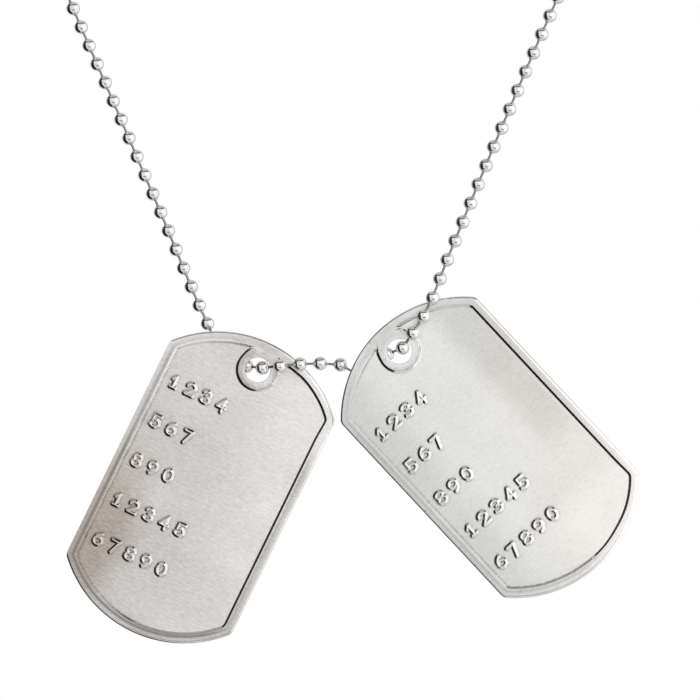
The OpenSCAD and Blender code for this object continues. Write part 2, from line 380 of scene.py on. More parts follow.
def zoned(zones, x, y):
    """Sum of soft zones at the points x, y of a tag."""
    total = np.zeros(np.shape(x))
    for strength, steps in zones:
        share = strength
        for (way_x, way_y), start, length, *ripple in steps:
            along = way_x * x + way_y * y - start
            if ripple:
                height, rate = ripple
                along = along + height * np.sin(rate * y)
            share = share * smooth_step(along / length)
        total = total + share
    return total


def line_at(distance, middle, half):
    """1 where distance is middle, and fading to nothing over about twice half on both sides."""
    return np.exp(-((distance - middle) / half) ** 2)


def unit(v):
    """The vectors v at a length of 1."""
    v = np.asarray(v, float)
    return v / np.linalg.norm(v, axis=-1, keepdims=True)


def soft_min(a, b, k):
    """The lesser of a and b, rounded where they are within k of each other."""
    h = np.clip(0.5 + 0.5 * (b - a) / k, 0, 1)
    return b + (a - b) * h - k * h * (1 - h)


def ramp(t):
    """An even rise from 0 at t = 0 to 1 at t = 1, rounded at both ends."""

    def bend(t):
        rounded = (t + WALL_ROUND) ** 2 / (4 * WALL_ROUND)
        return np.where(t < -WALL_ROUND, 0, np.where(t > WALL_ROUND, t, rounded))

    return bend(t) - bend(t - 1)


def arc(middle, half, start, end, step=DIGIT_STEP):
    """Points of an arc with half widths half round middle, from angle start to angle end in degrees."""
    t = np.radians(np.linspace(start, end, max(2, math.ceil(abs(end - start) / step) + 1)))
    return np.column_stack([middle[0] + half[0] * np.cos(t), middle[1] + half[1] * np.sin(t)])


def strokes(n):
    """Centre lines of the strokes of number n, its baseline at y = 0 and its middle at x = 0."""
    u = (DIGIT_W - STROKE_W) / 2
    low = STROKE_W / 2
    top = DIGIT_H - low
    h = top - low
    lines = {
        0: [arc((0, DIGIT_H / 2), (u, h / 2), 0, 360)],
        1: [[(-0.7 * u, top - 0.3 * h), (0, top - 0.05 * h), (0, low)], [(-0.7 * u, low), (0.7 * u, low)]],
        2: [
            [*arc((0, top - 0.3 * h), (u, 0.3 * h), 170, -20), (-0.75 * u, low + 0.04 * h)],
            [(-u, low), (u, low)],
        ],
        3: [
            arc((-0.1 * u, top - 0.24 * h), (0.95 * u, 0.24 * h), 150, -90),
            arc((-0.1 * u, low + 0.26 * h), (1.05 * u, 0.26 * h), 90, -150),
        ],
        4: [
            [(0.45 * u, low - 0.1 * h), (0.45 * u, top)],
            [(0.35 * u, top - 0.05 * h), (-0.85 * u, low + 0.3 * h)],
            [(-u, low + 0.27 * h), (u, low + 0.27 * h)],
        ],
        5: [
            [(0.85 * u, top), (-0.75 * u, top), (-0.8 * u, low + 0.5 * h)],
            arc((-0.15 * u, low + 0.32 * h), (1.1 * u, 0.32 * h), 125, -145),
        ],
        6: [
            arc((0, low + 0.31 * h), (u, 0.31 * h), 0, 360),
            arc((0.9 * u, low + 0.31 * h), (1.9 * u, 0.69 * h), 170, 105),
        ],
        7: [[(-u, top), (0.9 * u, top), (-0.3 * u, low - 0.1 * h)]],
        8: [
            arc((0, top - 0.23 * h), (0.9 * u, 0.23 * h), 0, 360),
            arc((0, low + 0.27 * h), (u, 0.27 * h), 0, 360),
        ],
        9: [
            arc((0, top - 0.31 * h), (u, 0.31 * h), 0, 360),
            arc((-0.9 * u, top - 0.31 * h), (1.9 * u, 0.69 * h), -10, -75),
        ],
    }
    return [np.array(line, float) for line in lines[n]]


def placed_numbers():
    """Each number on the tag with the place of its baseline's middle."""
    return [
        (n, (-TAG_W / 2 + ROW_MARGIN + DIGIT_W / 2 + k * DIGIT_PITCH, TOP_ROW_UP - row * ROW_PITCH))
        for row, numbers in enumerate(ROWS)
        for k, n in enumerate(numbers)
    ]


def distance_to(lines, x, y):
    """Distance from the points x, y to the nearest of the lines."""
    near = np.full(np.shape(x), FAR)
    for line in lines:
        for a, b in zip(line[:-1], line[1:]):
            d = b - a
            t = np.clip(((x - a[0]) * d[0] + (y - a[1]) * d[1]) / max(d @ d, TINY), 0, 1)
            near = np.minimum(near, np.hypot(x - a[0] - t * d[0], y - a[1] - t * d[1]))
    return near


STROKES = {n: strokes(n) for n in range(10)}


def stroke_distance(x, y):
    """Distance from each point of the tag to the nearest stroke's centre line."""
    near = np.full(np.shape(x), FAR)
    reach = PUCKER + CONTOUR_MARGIN
    for n, (nx, ny) in placed_numbers():
        close = (np.abs(x - nx) < DIGIT_W / 2 + reach) & (y > ny - reach) & (y < ny + DIGIT_H + reach)
        near[close] = np.minimum(near[close], distance_to(STROKES[n], x[close] - nx, y[close] - ny))
    return near


def side_distance(x, y):
    """Distance from a point of the tag in to its outer edge."""
    return soft_min(TAG_W / 2 - np.abs(x), END_R - np.hypot(x, np.abs(y) - ARC_Y), INNER_CORNER)


def pocket_distance(x, y, slimness):
    """Distance in from the foot of the rim and of the collar, less than 0 on them."""
    turn = np.degrees(np.arctan2(np.abs(x), y - HOLE_Y))
    flare = FLARE * smooth_step((FLARE_FROM - turn) / (FLARE_FROM - FLARE_TO))
    collar = np.hypot(x, y - HOLE_Y) - COLLAR_R - flare
    left = smooth_step(0.5 - x / SIDE_BLEND)
    rim = (side_distance(x, y) - RIM_W + zoned(slimness, x, y)) * (1 + (STEEP_RIM - 1) * left)
    steep_left, steep_right = STEEP_COLLAR
    steepness = steep_left + (steep_right - steep_left) * smooth_step(0.5 + x / COLLAR_BLEND)
    return soft_min(rim, collar * steepness, NOTCH_ROUND)


def ridge(s, foot, crest):
    """Height of a raised stroke as a share, at distance s from its centre line."""
    return 1 - ramp((s - crest) / (foot - crest))


def sheet_waves(x, y):
    """Slight waves that stamping leaves in the sheet."""
    return (
        0.008 * np.sin(0.31 * x + 0.17 * y + 0.6) * np.cos(0.23 * y - 0.12 * x)
        + 0.004 * np.sin(0.55 * x - 0.42 * y + 2.1)
    )


def front_height(x, y, slimness):
    """Height of the tag's front face over the back's plane."""
    q = pocket_distance(x, y, slimness)
    s = stroke_distance(x, y)
    rim = 1 - ramp(q / WALL_W + 0.5)
    crown = RIM_CROWN * np.clip(1 - side_distance(x, y) / CROWN_W, 0, 1) ** 2
    pucker = PUCKER_H * (1 - smooth_step((s - FOOT) / (PUCKER - FOOT)))
    lip = LIP_DROP * (1 - smooth_step((np.hypot(x, y - HOLE_Y) - HOLE_R) / LIP_W))
    panel = sheet_waves(x, y) * smooth_step(q / WAVES_GROW) - pucker
    raised = (EMBOSS_H + PUCKER_H) * ridge(s, FOOT, CREST)
    return SHEET_T + rim * (RIM_H - crown) + (1 - rim) * panel + raised - lip


def back_height(x, y):
    """Height to which the numbers are pressed hollow in the back face."""
    return PRESS_D * ridge(stroke_distance(x, y), PRESS_FOOT, CREST)


# Which sides of a grid cell a contour joins, by which of its corners lie above the level
CELL_LINKS = {
    1: ["SW"], 2: ["ES"], 3: ["EW"], 4: ["NE"], 5: ["SW", "NE"], 6: ["NS"], 7: ["NW"],
    8: ["WN"], 9: ["SN"], 10: ["ES", "WN"], 11: ["EN"], 12: ["WE"], 13: ["SE"], 14: ["WS"],
}


def contours(xs, ys, field, level):
    """Closed loops on which the field, given at xs and ys, has the level."""
    above = (field > level).astype(int)
    code = above[:-1, :-1] + 2 * above[1:, :-1] + 4 * above[1:, 1:] + 8 * above[:-1, 1:]
    links = {}
    for i, j in np.argwhere((code > 0) & (code < 15)).tolist():
        sides = {"S": (i, j, 0), "N": (i, j + 1, 0), "W": (i, j, 1), "E": (i + 1, j, 1)}
        for a, b in CELL_LINKS[code[i, j]]:
            links[sides[a]] = sides[b]

    def crossing(side):
        i, j, up = side
        k, m = (i, j + 1) if up else (i + 1, j)
        t = (level - field[i, j]) / (field[k, m] - field[i, j])
        return xs[i] + (xs[k] - xs[i]) * t, ys[j] + (ys[m] - ys[j]) * t

    loops = []
    while links:
        start = next(iter(links))
        side = start
        loop = []
        while side in links:
            loop.append(crossing(side))
            side = links.pop(side)
        if side == start and len(loop) > SHORTEST_LOOP:
            loops.append(np.array(loop))
    return loops


def thinned(line, tolerance):
    """The points of an open line that keep it within tolerance of its shape."""
    keep = np.zeros(len(line), bool)
    keep[[0, -1]] = True
    spans = [(0, len(line) - 1)]
    while spans:
        a, b = spans.pop()
        if b - a < 2:
            continue
        chord = line[b] - line[a]
        off = line[a + 1:b] - line[a]
        away = np.abs(chord[0] * off[:, 1] - chord[1] * off[:, 0]) / max(np.hypot(*chord), TINY)
        worst = int(np.argmax(away))
        if away[worst] > tolerance:
            keep[a + 1 + worst] = True
            spans += [(a, a + 1 + worst), (a + 1 + worst, b)]
    return line[keep]


def thinned_loop(loop, tolerance):
    """The same for a closed loop, thinned in two halves."""
    far = int(np.argmax(np.hypot(*(loop - loop[0]).T)))
    there = thinned(loop[:far + 1], tolerance)
    back = thinned(np.vstack([loop[far:], loop[:1]]), tolerance)
    return np.vstack([there[:-1], back[:-1]])


def contours_at(levels, xs, ys, field):
    """Thinned contours of the field at each of the levels."""
    loops = [loop for level in levels for loop in contours(xs, ys, field, level)]
    return [thinned_loop(loop, CONTOUR_TOLERANCE) for loop in loops]


def number_loops(levels):
    """Contours round every number of the tag, at each of the distances in levels."""
    reach = max(levels) + CONTOUR_MARGIN
    xs = np.arange(-DIGIT_W / 2 - reach, DIGIT_W / 2 + reach, DIGIT_GRID)
    ys = np.arange(-reach, DIGIT_H + reach, DIGIT_GRID)
    gx, gy = np.meshgrid(xs, ys, indexing="ij")
    drawn = {}
    for n, lines in STROKES.items():
        drawn[n] = contours_at(levels, xs, ys, distance_to(lines, gx, gy))
    return [loop + np.array(place) for n, place in placed_numbers() for loop in drawn[n]]


def pocket_loops(levels, slimness):
    """Contours along the walls of the rim and of the collar."""
    xs = np.arange(-TAG_W / 2, TAG_W / 2 + POCKET_GRID, POCKET_GRID)
    ys = np.arange(-TAG_L / 2, TAG_L / 2 + POCKET_GRID, POCKET_GRID)
    gx, gy = np.meshgrid(xs, ys, indexing="ij")
    return contours_at(levels, xs, ys, pocket_distance(gx, gy, slimness))


def outline_ring(inset):
    """Points of the tag's outline drawn in by inset, as many for every inset, and the ways out from them."""
    half_w = TAG_W / 2 - inset
    big_r = END_R - inset
    r = CORNER_R - inset
    corner_x = half_w - r
    corner_y = ARC_Y + math.sqrt((big_r - r) ** 2 - corner_x ** 2)
    turn = math.degrees(math.atan2(corner_y - ARC_Y, corner_x))
    pieces = [
        ((corner_x, corner_y), r, 0, turn, CORNER_CUTS),
        ((0, ARC_Y), big_r, turn, 180 - turn, END_CUTS),
        ((-corner_x, corner_y), r, 180 - turn, 180, CORNER_CUTS),
    ]
    points = []
    outward = []
    for middle, radius, start, end, cuts in pieces:
        angles = np.radians(np.linspace(start, end, cuts + 1))[:-1]
        out = np.column_stack([np.cos(angles), np.sin(angles)])
        points.append(np.array(middle) + radius * out)
        outward.append(out)
    side = np.linspace(corner_y, -corner_y, SIDE_CUTS + 1)[:-1]
    points.append(np.column_stack([np.full(SIDE_CUTS, -half_w), side]))
    outward.append(np.tile([-1.0, 0.0], (SIDE_CUTS, 1)))
    half_points = np.vstack(points)
    half_outward = np.vstack(outward)
    return np.vstack([half_points, -half_points]), np.vstack([half_outward, -half_outward])


def hole_ring(grow):
    """Points round the hole, and the ways towards its axis."""
    angles = np.radians(np.linspace(0, 360, HOLE_CUTS + 1))[:-1]
    out = np.column_stack([np.cos(angles), np.sin(angles)])
    return out * (HOLE_R + grow) + [0, HOLE_Y], -out


def edge_rings(ring, rounds, top, left_in=0.0, left_flat=0.0):
    """Rings down an edge from the front face, at height top, to the back face: points and normals.

    The left edge is drawn in by left_in, and left_flat says how much flatter its front rounding is.
    """
    (front_w, front_d), (back_w, back_d) = rounds
    points = []
    normals = []
    for is_front, width, start, end in ((True, front_w, 90, 0), (False, back_w, 0, -90)):
        for angle in np.radians(np.linspace(start, end, ROUND_CUTS + 1)):
            flat, out = ring(width * (1 - math.cos(angle)))
            flat = flat + np.outer(left_in * smooth_step(-out[:, 0] * (1 + out[:, 1])), (1, 0))
            depth = np.full(len(flat), back_d)
            if is_front:
                depth = front_d * (1 - left_flat * smooth_step((-out[:, 0] - FACES_LEFT) / (1 - FACES_LEFT)))
            z = depth * math.sin(angle) + (top - depth if is_front else depth)
            points.append(np.column_stack([flat, z]))
            normals.append(unit(np.column_stack([out * math.cos(angle) / width, math.sin(angle) / depth])))
    return points, normals


def free_points(loops):
    """Points over the tag's face on a grid of even triangles, clear of the loops."""
    rows = np.arange(-TAG_L / 2, TAG_L / 2, FREE_STEP * math.sqrt(0.75))
    columns = np.arange(-TAG_W / 2, TAG_W / 2, FREE_STEP)
    points = np.array([(x + k % 2 * FREE_STEP / 2, y) for k, y in enumerate(rows) for x in columns])
    from_hole = np.hypot(points[:, 0], points[:, 1] - HOLE_Y)
    points = points[(side_distance(*points.T) > FREE_STEP / 2) & (from_hole > HOLE_R + FREE_FROM_HOLE)]
    near = np.full(len(points), FAR)
    for loop in loops:
        near = np.minimum(near, np.hypot(*(points[:, None] - loop[None]).transpose(2, 0, 1)).min(1))
    return points[near > FREE_CLEAR]


def face_mesh(rim_ring, lip_ring, loops, height):
    """One face between its outer ring and the hole's: new points, their normals and the triangles.

    The triangles count the points of the two rings first, and the new points after them.
    """
    flat = np.vstack([rim_ring, lip_ring, *loops, free_points([rim_ring, lip_ring, *loops])])
    edges = []
    start = 0
    for loop in [rim_ring, lip_ring, *loops]:
        count = len(loop)
        edges += [(start + k, start + (k + 1) % count) for k in range(count)]
        start += count
    made = delaunay_2d_cdt([Vector(p) for p in flat.tolist()], edges, [], 0, WELD, True)
    places = np.array([tuple(v) for v in made[0]])
    triangles = np.array(made[2])
    origin = np.array([min(ids) if ids else -1 for ids in made[3]])
    ringed = len(rim_ring) + len(lip_ring)
    on_lip = (origin >= len(rim_ring)) & (origin < ringed)
    triangles = triangles[~on_lip[triangles].all(1)]
    fixed = (origin >= 0) & (origin < ringed)
    index = np.where(fixed, origin, 0)
    index[~fixed] = ringed + np.arange((~fixed).sum())
    new = places[~fixed]
    x, y = new.T
    e = SLOPE_STEP
    slope_x = (height(x + e, y) - height(x - e, y)) / (2 * e)
    slope_y = (height(x, y + e) - height(x, y - e)) / (2 * e)
    normals = unit(np.column_stack([-slope_x, -slope_y, np.ones(len(new))]))
    return np.column_stack([new, height(x, y)]), normals, index[triangles]


def strips(first, second):
    """Four-sided faces between rings that lie along the last axis of two arrays of vertex numbers."""
    return np.stack([first, second, np.roll(second, -1, -1), np.roll(first, -1, -1)], -1).reshape(-1, 4)


def tag_shape(slimness, left_flat):
    """Points, normals and faces of a whole tag in its own frame."""
    outer, outer_normals = edge_rings(outline_ring, EDGE_ROUND, TAG_T, EDGE_IN, left_flat)
    bore, bore_normals = edge_rings(hole_ring, HOLE_ROUND, TAG_T - LIP_DROP)
    points = np.vstack([*outer, *bore])
    normals = np.vstack([*outer_normals, *bore_normals])
    outer_ids = np.arange(len(outer) * len(outer[0])).reshape(len(outer), -1)
    bore_ids = len(outer_ids.ravel()) + np.arange(len(bore) * len(bore[0])).reshape(len(bore), -1)
    faces = [strips(outer_ids[:-1], outer_ids[1:]), strips(bore_ids[1:], bore_ids[:-1])]

    front_loops = pocket_loops(WALL_LEVELS, slimness) + number_loops(NUMBER_LEVELS)
    front_loops += [hole_ring(grow)[0] for grow in LIP_CUTS]
    front_loops += [outline_ring(inset)[0] for inset in BAND_CUTS]
    back_loops = number_loops(PRESS_LEVELS)

    def front(x, y):
        return front_height(x, y, slimness)

    for side, loops, height, flip in ((0, front_loops, front, False), (-1, back_loops, back_height, True)):
        new, new_normals, triangles = face_mesh(outer[side][:, :2], bore[side][:, :2], loops, height)
        ringed = np.concatenate([outer_ids[side], bore_ids[side]])
        index = np.concatenate([ringed, len(points) + np.arange(len(new))])
        points = np.vstack([points, new])
        normals = np.vstack([normals, -new_normals if flip else new_normals])
        faces.append(index[triangles[:, ::-1] if flip else triangles])
    return points, normals, faces


def mesh_of(name, points, faces, normals=None):
    """A smooth mesh from points in millimetres and arrays of faces."""
    mesh = bpy.data.meshes.new(name)
    mesh.from_pydata((np.asarray(points) * MM).tolist(), [], [f for part in faces for f in part.tolist()])
    mesh.polygons.foreach_set("use_smooth", [True] * len(mesh.polygons))
    if normals is not None:
        mesh.normals_split_custom_set_from_vertices(np.asarray(normals).tolist())
    return mesh


def give(mesh, name, values):
    """A number for each vertex that the materials can read."""
    attribute = mesh.attributes.new(name, "FLOAT", "POINT")
    attribute.data.foreach_set("value", np.asarray(values, np.float32))


def painted_shade_lines(x, y, q, s, side, from_hole, slimness):
    """Painted shade along the foot of the wall, on top of the collar and along the strokes, from 0 to 1."""
    middle, half = FOOT_LINE
    foot_of_wall = line_at(side - RIM_W + zoned(slimness, x, y), middle, half)
    # The painted shade at the wall's foot is kept to the left side and to the hole's surroundings
    on_left = smooth_step(0.5 - x / SIDE_BLEND) * smooth_step((FOOT_LINE_TOP[0] - y) / FOOT_LINE_TOP[1])
    by_hole = 1 - smooth_step((from_hole - FOOT_LINE_FROM_HOLE[0]) / FOOT_LINE_FROM_HOLE[1])
    foot_of_wall *= np.maximum(on_left, by_hole) * smooth_step(q / FOOT_LINE_START)
    top_of_collar = COLLAR_LINE_SHARE * line_at(q, *COLLAR_LINE)
    top_of_collar *= smooth_step(0.5 + (x - y + HOLE_Y) / COLLAR_BLEND)
    top_of_collar *= 1 - smooth_step((from_hole - COLLAR_R) / COLLAR_LINE_END)
    by_strokes = STROKE_LINE_SHARE * line_at(s, FOOT, STROKE_LINE_HALF)
    return np.maximum.reduce([foot_of_wall, top_of_collar, by_strokes])


def tag_mesh(name, look, matrix):
    """A tag's mesh in the frame's own place, with what its material reads at each vertex."""
    points, normals, faces = tag_shape(look["slimness"], look["left_flat"])
    turn = np.array(matrix.to_3x3())
    mesh = mesh_of(name, points @ turn.T + np.array(matrix.translation) / MM, faces, normals @ turn.T)
    x, y, z = points.T
    front = normals[:, 2] > FRONT_FACING
    q = np.where(front, pocket_distance(x, y, look["slimness"]), 1.0)
    s = np.where(front, stroke_distance(x, y), FAR)
    side = side_distance(x, y)
    from_hole = np.hypot(x, y - HOLE_Y)
    lip = 1 - smooth_step((from_hole - HOLE_R - LIP_POLISH[0]) / LIP_POLISH[1])
    give(mesh, "rim", np.where(front, 1 - ramp(q / WALL_W + 0.5), 0.0))
    polished = np.maximum(ridge(s, FOOT * CREST_POLISH, CREST), LIP_POLISH_SHARE * lip)
    give(mesh, "crest", np.where(front, polished, 0.0))
    # Painted shade in the creases: at the foot of the walls, on the collar's top and round the strokes
    give(mesh, "painted_crease_shade", np.where(front, painted_shade_lines(x, y, q, s, side, from_hole, look["slimness"]), 0.0))

    # A painted shade band along the rim's inner half, deeper at the foot, kept off the collar, darker where
    # each tag lists
    middle, half = BAND_LINE
    painted_rim_shade = line_at(side, middle + BAND_DEEPER * zoned([(1, [TAG_FOOT])], x, y), half)
    painted_rim_shade *= smooth_step((from_hole - COLLAR_R - BAND_OFF_COLLAR[0]) / BAND_OFF_COLLAR[1])
    painted_rim_shade *= np.maximum.reduce([zoned(zones, x, y) for zones in look["painted_rim_shade"]])
    give(mesh, "painted_rim_shade", np.where(front, painted_rim_shade, 0.0))
    give(mesh, "wall", smooth_step((WALL_FACING[0] - np.abs(normals[:, 2])) / WALL_FACING[1]))

    on_rim = np.where(front, smooth_step(-q / RIM_EDGE), 0.0)
    near_collar = 1 - smooth_step((from_hole - COLLAR_R - NEAR_COLLAR[0]) / NEAR_COLLAR[1])
    # How much duller the rim is, with a painted highlight line along its inner half
    dull_rim = zoned(look["dull_rim"], x, y) + zoned(look["painted_rim_highlight"], x, y) * line_at(side, *PAINTED_RIM_HIGHLIGHT_AT)
    # The collar's even dull tone, and painted shade that changes by side
    collar_tone_and_painted_shade = near_collar * zoned(look["collar"], x, y) * (1 - LIP_DULL_SHARE * lip)
    # Dullness: the tag's own tone, plus painted light and shade by place on the face, the rim and the collar
    give(mesh, "dull", zoned(look["dull"], x, y) + on_rim * (dull_rim + collar_tone_and_painted_shade))
    give(mesh, "warm", zoned(look["warm"], x, y))

    layer = mesh.uv_layers.new(name="Brush")
    corners = np.zeros(len(mesh.loops), np.int32)
    mesh.loops.foreach_get("vertex_index", corners)
    flat = np.column_stack([x / TAG_L + 0.5, y / TAG_L + 0.5])[corners]
    layer.data.foreach_set("uv", flat.ravel().astype(np.float32))
    return mesh


def hung(place, tilt):
    """From a tag's frame to where it hangs: its hole at place, its front towards -Y, turned clockwise."""
    to_hole = Matrix.Translation(Vector((0, -HOLE_Y * MM, -TAG_T / 2 * MM)))
    upright = Matrix.Rotation(math.radians(90), 4, "X")
    return Matrix.Translation(place) @ Matrix.Rotation(math.radians(tilt), 4, "Y") @ upright @ to_hole


def add_object(mesh, material, body, replaced):
    """A piece of the scene that rides on a body and stands for the solid that it replaces."""
    piece = bpy.data.objects.new(mesh.name, mesh)
    bpy.context.scene.collection.objects.link(piece)
    mesh.materials.append(material)
    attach(piece, body)
    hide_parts(replaced)


def ball_places():
    """Middles of the chain's balls along its route."""
    p = np.array(ROUTE, float)
    chords = np.diff(p, axis=0)
    spans = np.linalg.norm(chords, axis=1)
    headings = [unit(chords[0])]
    for i in range(1, len(p) - 1):
        a, b = spans[i - 1], spans[i]
        headings.append(unit(chords[i - 1] * b / a + chords[i] * a / b))
    headings.append(unit(chords[-1]))
    line = []
    for i, span in enumerate(spans):
        for k in range(ROUTE_CUTS):
            t = k / ROUTE_CUTS
            line.append(
                p[i] * (2 * t ** 3 - 3 * t ** 2 + 1) + headings[i] * span * (t ** 3 - 2 * t ** 2 + t)
                + p[i + 1] * (3 * t ** 2 - 2 * t ** 3) + headings[i + 1] * span * (t ** 3 - t ** 2)
            )
    line.append(p[-1])
    line = np.array(line)
    along = np.concatenate([[0], np.cumsum(np.linalg.norm(np.diff(line, axis=0), axis=1))])
    count = round(along[-1] / BALL_PITCH) + 1
    stops = np.linspace(0, along[-1], count)
    return np.column_stack([np.interp(stops, along, line[:, axis]) for axis in range(3)])


def turned(v, axis, angle):
    """The vectors v turned by angle about axis."""
    c = np.cos(angle)[..., None]
    s = np.sin(angle)[..., None]
    return v * c + np.cross(axis, v) * s + axis * (axis * v).sum(-1, keepdims=True) * (1 - c)


def ball_mesh(name, balls):
    """All the balls as one mesh: each is drawn round its own links and bends between the two directions."""
    turns = np.radians(BALL_ANGLES)
    half = NECK + list(zip(BALL_R * np.sin(turns), BALL_R * np.cos(turns)))
    profile = np.array(half + [(r, -z) for r, z in half[-2::-1]])
    slope = np.gradient(profile, axis=0)
    outward = unit(np.column_stack([-slope[:, 1], slope[:, 0]]))
    angles = np.radians(np.linspace(0, 360, BALL_SIDES + 1))[:-1]

    def spun(rz):
        x = np.outer(rz[:, 0], np.cos(angles))
        y = np.outer(rz[:, 0], np.sin(angles))
        return np.stack([x, y, np.tile(rz[:, 1:], BALL_SIDES)], -1)

    steps = unit(np.diff(balls, axis=0))
    after = np.vstack([steps, steps[-1:]])
    before = np.vstack([steps[:1], steps])
    side = unit(np.cross(before, [0.0, 1.0, 0.0]))
    up = np.cross(before, side)
    axis = np.cross(before, after)
    size = np.linalg.norm(axis, axis=1)
    bend = np.arctan2(size, (before * after).sum(1))
    axis = np.where(size[:, None] > TINY, axis / np.maximum(size, TINY)[:, None], side)
    height = profile[:, 1] / BALL_R
    share = smooth_step(0.5 + height / 2)

    def placed(local):
        v = (
            local[None, ..., 0:1] * side[:, None, None] + local[None, ..., 1:2] * up[:, None, None]
            + local[None, ..., 2:3] * before[:, None, None]
        )
        angle = bend[:, None, None] * share[None, :, None] * np.ones(BALL_SIDES)
        return turned(v, axis[:, None, None], angle)

    points = placed(spun(profile)) + balls[:, None, None]
    normals = placed(spun(outward))
    ids = np.arange(points[..., 0].size).reshape(points.shape[:3])
    faces = [strips(ids[:, :-1], ids[:, 1:])]
    mesh = mesh_of(name, points.reshape(-1, 3), faces, normals.reshape(-1, 3))
    seam = np.minimum(np.arange(BALL_SIDES), 1.0) * np.ones(points.shape[:3])
    give(mesh, "seam", 1 - seam.ravel())
    # Where the balls' holes are painted dark as shade
    inside = (profile[:, 0] < NECK[2][0]) * (np.abs(profile[:, 1]) < NECK[2][1])
    give(mesh, "inside", (inside[None, :, None] * np.ones(points.shape[:3])).ravel())
    return mesh


def wire_mesh(name, balls):
    """All the link wires as one mesh, each slightly thicker where it enters the balls."""
    steps = np.diff(balls, axis=0)
    length = np.linalg.norm(steps, axis=1)
    ahead = steps / length[:, None]
    side = unit(np.cross(ahead, [0.0, 1.0, 0.0]))
    up = np.cross(ahead, side)
    shares, thickness = np.array(WIRE_PROFILE).T
    radii = thickness * WIRE_R
    angles = np.radians(np.linspace(0, 360, WIRE_SIDES + 1))[:-1, None]
    along = WIRE_START + shares[None] * (length[:, None] - 2 * WIRE_START)
    out = side[:, None, None] * np.cos(angles) + up[:, None, None] * np.sin(angles)
    middles = balls[:-1, None, None] + ahead[:, None, None] * along[..., None, None]
    points = middles + radii[:, None, None] * out
    ids = np.arange(points[..., 0].size).reshape(points.shape[:3])
    return mesh_of(name, points.reshape(-1, 3), [strips(ids[:, 1:], ids[:, :-1])])


def sleeve_mesh(name):
    """The connector: a rolled sleeve with a slit, drawn-in ends and a shallow groove near each end."""
    flat = SLEEVE_HALF - SLEEVE_END_ROUND
    inner_half = SLEEVE_HALF - SLEEVE_WALL
    xs = np.linspace(0, flat, SLEEVE_LENGTH_CUTS)
    groove = GROOVE_D * (1 - smooth_step(np.abs(xs - GROOVE_X) / GROOVE_HALF))
    rounded = np.radians(np.linspace(90, 0, SLEEVE_END_CUTS + 1))[1:]
    outer = [(x, SLEEVE_R - g) for x, g in zip(xs, groove)]
    outer += [
        (flat + SLEEVE_END_ROUND * math.cos(a), SLEEVE_R - SLEEVE_END_ROUND + SLEEVE_END_ROUND * math.sin(a))
        for a in rounded
    ]
    outer.append((SLEEVE_HALF, SLEEVE_MOUTH_R + SLEEVE_LIP_ROUND))
    outer.append((SLEEVE_HALF - SLEEVE_LIP_ROUND, SLEEVE_MOUTH_R))
    inner_r = SLEEVE_R - SLEEVE_WALL
    inner = [(min(x, inner_half), min(inner_r, max(SLEEVE_MOUTH_R, r - SLEEVE_WALL / 2))) for x, r in outer]
    outer = np.array([(-x, r) for x, r in outer[:0:-1]] + outer)
    inner = np.array([(-x, r) for x, r in inner[:0:-1]] + inner)
    share = np.linspace(0, 1, SLEEVE_CUTS + 1)

    def rolled(profile):
        opening = np.arcsin(np.clip(SLIT_W / 2 / profile[:, 1], 0, 1))
        angle = opening[:, None] + (2 * math.pi - 2 * opening[:, None]) * share[None]
        x = np.repeat(profile[:, :1], len(share), 1)
        return np.stack([x, SLEEVE_R + profile[:, 1:] * np.cos(angle), profile[:, 1:] * np.sin(angle)], -1)

    points = np.concatenate([rolled(outer), rolled(inner)])
    ids = np.arange(points[..., 0].size).reshape(2, len(outer), -1)
    out, within = ids

    def sheet_faces(rows):
        return np.stack([rows[:-1, :-1], rows[1:, :-1], rows[1:, 1:], rows[:-1, 1:]], -1).reshape(-1, 4)

    def seam_faces(a, b):
        return np.column_stack([a[:-1], a[1:], b[1:], b[:-1]])

    faces = [
        sheet_faces(out)[:, ::-1],
        sheet_faces(within),
        seam_faces(out[:, 0], within[:, 0]),
        seam_faces(within[:, -1], out[:, -1]),
        seam_faces(within[0], out[0]),
        seam_faces(out[-1], within[-1]),
    ]
    mesh = mesh_of(name, points.reshape(-1, 3), faces)
    mesh.set_sharp_from_angle(angle=math.radians(SHARP_EDGE))
    return mesh


def node(tree, kind, inputs=(), **settings):
    """A shader node with its inputs set to values or joined to other nodes' sockets."""
    made = tree.nodes.new(kind)
    for key, value in settings.items():
        setattr(made, key, value)
    for key, value in dict(inputs).items():
        if isinstance(value, bpy.types.NodeSocket):
            tree.links.new(value, made.inputs[key])
        else:
            made.inputs[key].default_value = value
    return made


def new_material(name):
    """A new material with its node tree and its shader."""
    material = bpy.data.materials.new(name)
    material.use_nodes = True
    tree = material.node_tree
    return material, tree, tree.nodes["Principled BSDF"]


def attribute(tree, name):
    """A number that give() has set at the vertices."""
    return node(tree, "ShaderNodeAttribute", attribute_name=name).outputs["Fac"]


def noise(tree, coordinates, scale, detail, roughness, seed=0.0):
    """Noise from 0 to 1 whose grains are 1/scale long along each axis of the coordinates."""
    placing = {"Vector": coordinates, "Scale": scale, "Location": (seed, -seed, seed)}
    placed = node(tree, "ShaderNodeMapping", placing).outputs[0]
    inputs = {"Vector": placed, "Scale": 1.0, "Detail": detail, "Roughness": roughness}
    return node(tree, "ShaderNodeTexNoise", inputs).outputs["Fac"]


def math_of(tree, operation, a, b):
    """The outcome of one operation on two numbers."""
    return node(tree, "ShaderNodeMath", {0: a, 1: b}, operation=operation).outputs[0]


def ranged(tree, value, low, high, to_low, to_high, smooth=False):
    """The value moved from the range low to high into the range to_low to to_high, and kept inside it."""
    kind = "SMOOTHSTEP" if smooth else "LINEAR"
    inputs = {"Value": value, "From Min": low, "From Max": high, "To Min": to_low, "To Max": to_high}
    return node(tree, "ShaderNodeMapRange", inputs, interpolation_type=kind).outputs["Result"]


